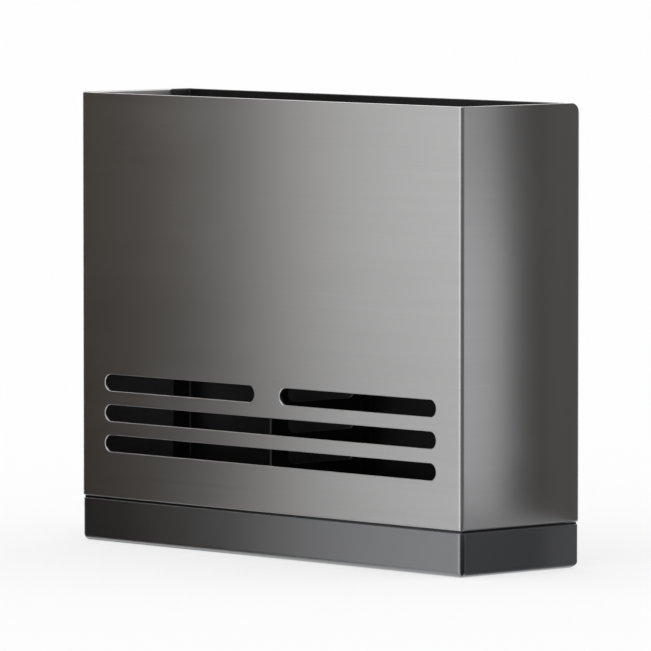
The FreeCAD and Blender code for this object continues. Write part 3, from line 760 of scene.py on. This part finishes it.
@dataclass(frozen=True)
class Rivet:
    """A domed rivet with a set tail."""

    head_radius: float = 3 * MM
    head_height: float = 1 * MM
    rim: float = 0.12 * MM
    shank_radius: float = 1.5 * MM
    tail_radius: float = 2.3 * MM
    tail_height: float = 1 * MM
    dimple_depth: float = 0.2 * MM
    dimple_radius: float = 0.75 * MM
    dome_steps: int = 8
    bulge_steps: int = 6
    sides: int = 32

    def mesh(self, grip: float, axis: Axis, head_first: bool) -> Mesh:
        """One rivet about the origin.

        Args:
            grip: how far its head and tail are apart.
            axis: the axis that it lies along.
            head_first: whether its head is at the low end of that axis.

        Returns:
            The mesh, with the middle of its grip at the origin.
        """
        half = grip / 2
        dome_reach = (self.head_radius, self.head_height - self.rim)
        dome = arc((0.0, half + self.rim), dome_reach, 90, 0, self.dome_steps)
        bulge_middle = (self.shank_radius, -half - self.tail_height / 2)
        bulge_reach = (self.tail_radius - self.shank_radius, self.tail_height / 2)
        bulge = arc(bulge_middle, bulge_reach, 90, -90, self.bulge_steps)
        profile = [*dome, (self.head_radius, half), (self.shank_radius, half), *bulge[1:]]
        dimple = self.dimple_depth - half - self.tail_height
        profile += [(self.dimple_radius, dimple), (0.0, dimple)]
        if head_first:
            profile = [(radius, -height) for radius, height in profile]
        return turned_mesh("rivet", profile, axis, self.sides)

    def build_row(self, rows: RowTree, node: str, axis: Axis, along: Axis, count: int, head_first: bool) -> None:
        """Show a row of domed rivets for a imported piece.

        Args:
            rows: what repeats a rivet.
            node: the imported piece.
            axis: the axis that each rivet lies along.
            along: the axis that the row runs along.
            count: how many rivets there are.
            head_first: whether their heads are at the low end of their axis.
        """
        low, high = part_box(node)
        size = high - low
        grip = size[axis.place] - self.head_height - self.tail_height
        start = (low + high) / 2
        start[axis.place] = low[axis.place] + (self.head_height if head_first else self.tail_height) + grip / 2
        start[along.place] = low[along.place] + self.head_radius
        step = Vector(along.value) * ((size[along.place] - 2 * self.head_radius) / (count - 1))
        values = {"Start": start, "Step": step, "Count": count, "Axis": axis.value, "Turn Play": math.tau}
        rows.build(f"{node}_domed", self.mesh(grip, axis, head_first), RIVET, values, node)


@dataclass(frozen=True)
class WeldMark:
    """The shallow ring that a spot weld leaves, on the side that faces the wall.

    Its section is given by shares of its radius and of its ridge's height.
    """

    section: tuple[Pair, ...] = (
        (0.0, 0.2), (0.35, 0.25), (0.6, 0.5), (0.78, 1.0), (0.9, 0.6), (1.0, 0.0)
    )
    radius: float = 2.4 * MM
    ridge: float = 0.16 * MM
    sink: float = 0.05 * MM
    sides: int = 20

    def mesh(self) -> Mesh:
        """One mark, with the sheet's face at the origin."""
        profile = [(reach * self.radius, rise * self.ridge) for reach, rise in self.section]
        profile += [(self.radius, -self.sink), (0.0, -self.sink)]
        return turned_mesh("weld_mark", profile, Axis.Y, self.sides)


@dataclass(frozen=True)
class DrainRim:
    """The low rim that pressing leaves round a drain slot, on the side that faces up.

    Its section is given by shares of its breadth and of its height.
    """

    section: tuple[Pair, ...] = ((0.0, 0.7), (0.2, 1.0), (0.5, 0.85), (0.8, 0.35), (1.0, 0.0))
    slot_length: float = 15 * MM
    slot_width: float = 3.2 * MM
    breadth: float = 0.9 * MM
    height: float = 0.28 * MM
    sink: float = 0.05 * MM
    corner_steps: int = 5
    merge: float = 0.001 * MM

    def mesh(self) -> Mesh:
        """One rim about the origin, with the sheet's face at the origin's height.

        Returns:
            The mesh.
        """
        crown = [(share, rise * self.height) for share, rise in self.section]
        shape = bmesh.new()
        loops = []
        for share, height in ((0.0, -self.sink), *crown, (1.0, -self.sink)):
            half_width = self.slot_width / 2 + share * self.breadth
            half_length = self.slot_length / 2 + share * self.breadth
            outline = rounded_outline(half_width, half_length, half_width, self.corner_steps)
            loops.append([shape.verts.new((across, along, height)) for across, along in outline])
        bridge_loops(shape, [*loops, loops[0]])
        bmesh.ops.remove_doubles(shape, verts=shape.verts[:], dist=self.merge)
        return finished_mesh("drain_rim", shape)


class SubAssembly:
    """What every sub-assembly has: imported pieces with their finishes, and perhaps pieces of its own."""

    PACKED: ClassVar[dict[str, Finish]]

    def dress(self) -> None:
        """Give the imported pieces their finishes."""
        for node, finish in self.PACKED.items():
            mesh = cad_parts[node].data
            mesh.materials.clear()
            mesh.materials.append(finish.material())
            LOG.info("%s: %s", node, finish.slot.value)

    def build(self) -> None:
        """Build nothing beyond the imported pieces."""


@dataclass
class Casing(SubAssembly):
    """The bent shell, its back panel and the marks of the welds that hold the floor and the rear guide to it."""

    PACKED = {"front_shell": SHELL, "back_panel": INNER}

    rows: RowTree
    mark: WeldMark = WeldMark()
    floor_marks: int = 9
    guide_marks: int = 5
    edge: float = 10 * MM
    size_play: float = 0.12

    def build(self) -> None:
        """Add the weld marks behind the back, along the floor's flange and the rear guide."""
        low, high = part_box("drain_floor")
        panel_low, panel_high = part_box("back_panel")
        level = (panel_low.z + high.z) / 2
        start = Vector((low.x + self.edge, high.y, level))
        self._row("floor_weld_marks", self.floor_marks, start, Vector((high.x - self.edge, high.y, level)))
        start = Vector((0, panel_high.y, high.z + self.edge))
        end = Vector((0, panel_high.y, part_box("wall_rail")[0].z - self.edge))
        self._row("guide_weld_marks", self.guide_marks, start, end)

    def _row(self, name: str, count: int, start: Vector, end: Vector) -> None:
        """One row of marks."""
        values = {"Start": start, "Step": (end - start) / (count - 1), "Count": count}
        values |= {"Axis": Axis.Y.value, "Turn Play": math.tau, "Size Play": self.size_play}
        self.rows.build(name, self.mark.mesh(), INNER, values)


@dataclass
class Underfloor(SubAssembly):
    """The drain floor with its pressed rims, the tray's runners and their rivets."""

    PACKED = {"drain_floor": INNER, "left_tray_runner": INNER, "right_tray_runner": INNER}

    rows: RowTree
    rim: DrainRim = DrainRim()
    rivet: Rivet = Rivet()
    rivets: int = 3
    drain_columns: int = 12
    drain_spacing: float = 12 * MM
    drain_row_spacing: float = 24 * MM

    def build(self) -> None:
        """Build the drain slots' rims and a row of domed rivets for each runner."""
        self._build_rims()
        for node in ("left_runner_rivets", "right_runner_rivets"):
            self.rivet.build_row(self.rows, node, Axis.Z, Axis.Y, self.rivets, head_first=False)

    def _build_rims(self) -> None:
        """Two rows of pressed rims, before and behind the middle of the divider."""
        divider_low, divider_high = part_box("divider_panel")
        middle = (divider_low.y + divider_high.y) / 2
        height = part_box("back_panel")[0].z
        first = -(self.drain_columns - 1) / 2 * self.drain_spacing
        for name, way in (("front_drain_rims", -1), ("rear_drain_rims", 1)):
            values = {
                "Start": Vector((first, middle + way * self.drain_row_spacing / 2, height)),
                "Step": Vector((self.drain_spacing, 0, 0)),
                "Count": self.drain_columns,
            }
            self.rows.build(name, self.rim.mesh(), INNER, values)


class Divider(SubAssembly):
    """The lift-out divider and the channels that it slides in."""

    PACKED = {"divider_panel": INNER, "front_divider_guide": INNER, "rear_divider_guide": INNER}


class DripTray(SubAssembly):
    """The pull-out tray."""

    PACKED = {"drip_tray": TRAY}


@dataclass
class WallHanging(SubAssembly):
    """The wall rail with its foam pad, the hanger rail with its rivets, and the bumpers."""

    PACKED = {"wall_rail": BRACKET, "hanger_rail": BRACKET}

    rows: RowTree
    rivet: Rivet = Rivet()
    rivets: int = 4
    nose: float = 1.6 * MM
    nose_steps: int = 8
    bumper_flare: float = 0.5 * MM
    flare_steps: int = 5
    bumper_sides: int = 48
    pad_corner: float = 3 * MM
    film: float = 0.1 * MM
    waist: float = 0.3 * MM
    film_draw: float = 0.12 * MM
    corner_steps: int = 8

    def build(self) -> None:
        """Build the rivets, whose heads are inside the holder, the bumpers and the pad."""
        self.rivet.build_row(self.rows, "hanger_rivets", Axis.Y, Axis.X, self.rivets, head_first=True)
        for node in ("left_bumper", "right_bumper"):
            self._build_bumper(node)
        self._build_pad()

    def _build_bumper(self, node: str) -> None:
        """A turned rubber bumper whose foot flares on the back panel."""
        low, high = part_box(node)
        radius = (high.x - low.x) / 2
        height = high.y - low.y
        flare = self.bumper_flare
        foot = arc((radius, 2 * flare), (flare, flare), -90, -180, self.flare_steps)
        nose_middle = (radius - flare - self.nose, height - self.nose)
        tip = arc(nose_middle, (self.nose, self.nose), 0, 90, self.nose_steps)
        profile = [(0.0, 0.0), (radius, 0.0), *foot, *tip, (0.0, height)]
        mesh = turned_mesh(node, profile, Axis.Y, self.bumper_sides)
        mesh.transform(Matrix.Translation(((low.x + high.x) / 2, low.y, (low.z + high.z) / 2)))
        place_piece(f"{node}_turned", mesh, Body.HOLDER, BUMPER, node)

    def _build_pad(self) -> None:
        """A foam pad between two films, drawn in a little at its waist."""
        low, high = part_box("adhesive_pad")
        depth = high.y - low.y
        draw = self.film_draw
        layers = [(0.0, 0.0), (self.film, 0.0), (self.film, draw), (depth / 2, self.waist)]
        layers += [(depth - self.film, draw), (depth - self.film, 0.0), (depth, 0.0)]
        shape = bmesh.new()
        loops = []
        for rise, inset in layers:
            outline = rounded_outline(high.x - inset, high.z - inset, self.pad_corner - inset, self.corner_steps)
            loops.append([shape.verts.new((across, low.y + rise, up)) for across, up in outline])
        bridge_loops(shape, loops)
        shape.faces.new(loops[0])
        shape.faces.new(loops[-1])
        pad = place_piece("foam_pad", finished_mesh("foam_pad", shape), Body.WALL, PAD, "adhesive_pad")


@dataclass(frozen=True)
class Card:
    """A flat card that only reflections see, so that the metal has something to mirror."""

    name: str
    corners: Corners
    level: Colour

    def build(self) -> None:
        """Make the card."""
        card, graph = add_sheet(self.name, self.corners)
        card.visible_camera = False
        card.visible_diffuse = False
        card.visible_transmission = False
        card.visible_shadow = False
        glow = graph.add("ShaderNodeEmission", {"Color": (*self.level, 1.0)})
        graph.add("ShaderNodeOutputMaterial", {"Surface": glow.outputs[0]})


@dataclass
class Studio:
    """A pale floor, a white dome, cards for the metal to mirror, and the camera."""

    floor_colour: Colour = (0.97, 0.97, 0.97)
    floor_white: float = 0.6
    floor_reach: float = 40.0
    dome: float = 1.0
    eye: Point = (2.238, -2.113, 0.1525)
    target: Point = (0.0, -0.0315, -0.05)
    lens: float = 430.0
    lift: float = 0.5 * MM
    card_foot: float = -0.5
    card_top: float = 0.7
    front_distance: float = 0.21
    scrim_middle: float = -0.06
    scrim_low_level: Colour = (0.9, 0.9, 0.905)
    scrim_high_level: Colour = (0.99, 0.99, 0.995)
    flag_edge: float = 0.21
    flag_far: float = 1.4
    flag_slant: Pair = (-0.3, -1.2)
    flag_low_level: Colour = (0.031, 0.022, 0.014)
    flag_high_level: Colour = (0.056, 0.043, 0.03)
    overhead_height: float = 0.5
    overhead_reach: float = 1.2
    overhead_depths: Pair = (-0.27, 0.8)
    overhead_level: Colour = (2.0, 2.0, 2.0)
    light_edges: Pair = (0.05, 0.125)
    light_level: Colour = (1.5, 1.5, 1.5)
    strip_radius: float = 30 * MM
    strip_turns: Pair = (15.0, 112.0)
    strip_steps: int = 6
    strip_drop: float = 3 * MM
    strip_low_level: Colour = (0.04, 0.04, 0.04)
    strip_high_level: Colour = (0.17, 0.17, 0.17)
    shade_width: float = 18 * MM
    wall_width: float = 0.16
    wall_foot: float = -0.22
    wall_top: float = 90 * MM
    wall_levels: Pair = (0.69, 0.535)
    wall_tint: Colour = (1.0, 1.0, 1.03)
    core_widths: Pair = (42 * MM, 46 * MM)
    fade_heights: Pair = (-18 * MM, 19 * MM)
    fade_steps: int = 4
    foot_top: float = -104 * MM
    foot_share: float = 0.3
    shade_level: Colour = (0.104, 0.1, 0.092)
    core_level: Colour = (0.046, 0.043, 0.038)
    over_level: Colour = (0.06, 0.06, 0.062)
    near_under_level: Colour = (0.2, 0.2, 0.203)
    far_under_level: Colour = (0.11, 0.11, 0.112)
    ledge_reach: float = 0.1
    ledge_over: Colour = (0.3, 0.3, 0.31)
    ledge_under: Colour = (0.13, 0.13, 0.135)

    @property
    def seam(self) -> float:
        """The height of the gap between the shell and the tray."""
        return (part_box("front_shell")[0].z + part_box("drip_tray")[1].z) / 2

    def build(self) -> None:
        """Make the floor, the light, the cards and the camera."""
        self._build_floor()
        self._build_dome()
        self._build_front_cards()
        self._build_corner_strip()
        self._build_end_cards()
        self._build_camera()

    def _build_floor(self) -> None:
        """A wide pale floor under the tray, through which reflections see the dome."""
        reach = self.floor_reach
        floor, graph = add_sheet("floor", level_corners((-reach, -reach), (reach, reach), CAD_BOX[0].z))
        floor.visible_glossy = False
        pale = graph.add("ShaderNodeBsdfDiffuse", {"Color": (*self.floor_colour, 1.0)})
        white = graph.add("ShaderNodeEmission", {"Color": WHITE})
        path = graph.add("ShaderNodeLightPath").outputs
        seen = graph.math("MULTIPLY", path["Is Camera Ray"], self.floor_white)
        mixed = graph.add("ShaderNodeMixShader", {0: seen, 1: pale.outputs[0], 2: white.outputs[0]})
        graph.add("ShaderNodeOutputMaterial", {"Surface": mixed.outputs[0]})

    def _build_dome(self) -> None:
        """Even white light from all round."""
        world = bpy.data.worlds.new("dome")
        world.use_nodes = True
        background = world.node_tree.nodes["Background"].inputs
        background["Color"].default_value = WHITE
        background["Strength"].default_value = self.dome
        bpy.context.scene.world = world
        bpy.context.scene.view_settings.view_transform = "Standard"

    def _build_front_cards(self) -> None:
        """Before the front, a pale scrim between two dark flags, with a soft light on it and one overhead."""
        face = CAD_BOX[0].y - self.front_distance
        foot, middle, top = self.card_foot, self.scrim_middle, self.card_top
        edge, far = self.flag_edge, self.flag_far
        scrim = ((-edge, face), (edge, face))
        Card("low_scrim", upright_corners(*scrim, foot, middle), self.scrim_low_level).build()
        Card("high_scrim", upright_corners(*scrim, middle, top), self.scrim_high_level).build()
        near_foot, far_foot = self.flag_slant
        low_flag = ((edge, face, near_foot), (far, face, far_foot), (far, face, middle), (edge, face, middle))
        self._build_pair("low_flag", low_flag, self.flag_low_level)
        high_flag = upright_corners((edge, face), (far, face), middle, top)
        self._build_pair("high_flag", high_flag, self.flag_high_level)
        near = face + self.lift
        start, end = self.light_edges
        Card("front_light", upright_corners((start, near), (end, near), foot, top), self.light_level).build()
        reach, height = self.overhead_reach, self.overhead_height
        front, rear = self.overhead_depths
        overhead = level_corners((-reach, front), (reach, rear), height)
        Card("overhead_light", overhead, self.overhead_level).build()

    def _build_corner_strip(self) -> None:
        """A narrow dark strip round the right front corner, which the bend mirrors as a line.

        It is darker below, before the tray.
        """
        corner = (CAD_BOX[1].x, CAD_BOX[0].y)
        split = self.seam - self.strip_drop
        first, last = (turn - 90 for turn in self.strip_turns)
        path = arc(corner, (self.strip_radius, self.strip_radius), first, last, self.strip_steps)
        for index, (start, end) in enumerate(zip(path, path[1:])):
            low_strip = upright_corners(start, end, self.card_foot, split)
            high_strip = upright_corners(start, end, split, self.card_top)
            Card(f"low_strip_{index}", low_strip, self.strip_low_level).build()
            Card(f"high_strip_{index}", high_strip, self.strip_high_level).build()

    def _build_end_cards(self) -> None:
        """Beside each end, a wall with painted shade near the holder and below the tray's seam, and a ledge at the
        seam whose underside is painted shade.
        """
        widths = (self.lift, self.shade_width, self.wall_width)
        start, shade, far = (CAD_BOX[1].x + width for width in widths)
        seam, top = self.seam, self.wall_top
        cards = []
        for index, (low, high, share) in enumerate(self._fade()):
            core = CAD_BOX[1].x + self._between(self.core_widths, share)
            level = tuple(self._between(self.wall_levels, share) * part for part in self.wall_tint)
            # The core is the darkest band of the painted shade, just before the wall turns pale.
            cards.append((f"core_{index}", shade, core, low, high, self.core_level))
            cards.append((f"wall_{index}", core, far, low, high, level))
        cards += [
            ("shade", start, shade, seam, top, self.shade_level),
            ("over", start, far, top, self.card_top, self.over_level),
            # Painted shade on the wall below the seam, for the tray's ends to mirror.
            ("near_under", start, shade, self.wall_foot, seam, self.near_under_level),
            ("far_under", shade, far, self.wall_foot, seam, self.far_under_level),
        ]
        for name, inner, outer, low, high, level in cards:
            self._build_pair(name, upright_corners((inner, 0.0), (outer, 0.0), low, high), level)
        ledge = ((start, CAD_BOX[0].y), (start + self.ledge_reach, 0.0))
        self._build_pair("ledge", level_corners(*ledge, seam), self.ledge_over)
        # The ledge's underside is painted shade.
        self._build_pair("ledge_under", level_corners(*ledge, seam - self.lift), self.ledge_under)

    def _fade(self) -> list[tuple[float, float, float]]:
        """The bands in which the wall dims upwards, and a little at its foot.

        Returns:
            Each band's lower edge, its upper edge and how far it has dimmed.
        """
        bands = [(self.seam, self.foot_top, self.foot_share)]
        low = self.foot_top
        for step in range(self.fade_steps):
            high = self._between(self.fade_heights, step / (self.fade_steps - 1))
            bands.append((low, high, step / self.fade_steps))
            low = high
        return [*bands, (low, self.wall_top, 1.0)]

    @staticmethod
    def _between(ends: Pair, share: float) -> float:
        """The value at a share of the way between two ends."""
        return ends[0] + (ends[1] - ends[0]) * share

    def _build_pair(self, name: str, corners: Corners, level: Colour) -> None:
        """A card on the right and its mirror on the left."""
        for side, hand in ((-1, "left"), (1, "right")):
            placed = tuple((side * across, along, up) for across, along, up in corners)
            Card(f"{hand}_{name}", placed, level).build()

    def _build_camera(self) -> None:
        """A long lens to the right of the front, a little above."""
        data = bpy.data.cameras.new("camera")
        data.lens = self.lens
        data.clip_end = 2 * self.floor_reach
        camera = add_object("camera", data)
        camera.location = self.eye
        camera.rotation_euler = (Vector(self.target) - Vector(self.eye)).to_track_quat("-Z", "Y").to_euler()
        bpy.context.scene.camera = camera


def main() -> None:
    """Build the sub-assemblies in order, then the studio."""
    logging.basicConfig(level=logging.INFO, format="%(name)s: %(message)s")
    rows = RowTree()
    for assembly in (Casing(rows), Underfloor(rows), Divider(), DripTray(), WallHanging(rows)):
        assembly.dress()
        assembly.build()
    Studio().build()


if __name__ == "__main__":
    main()
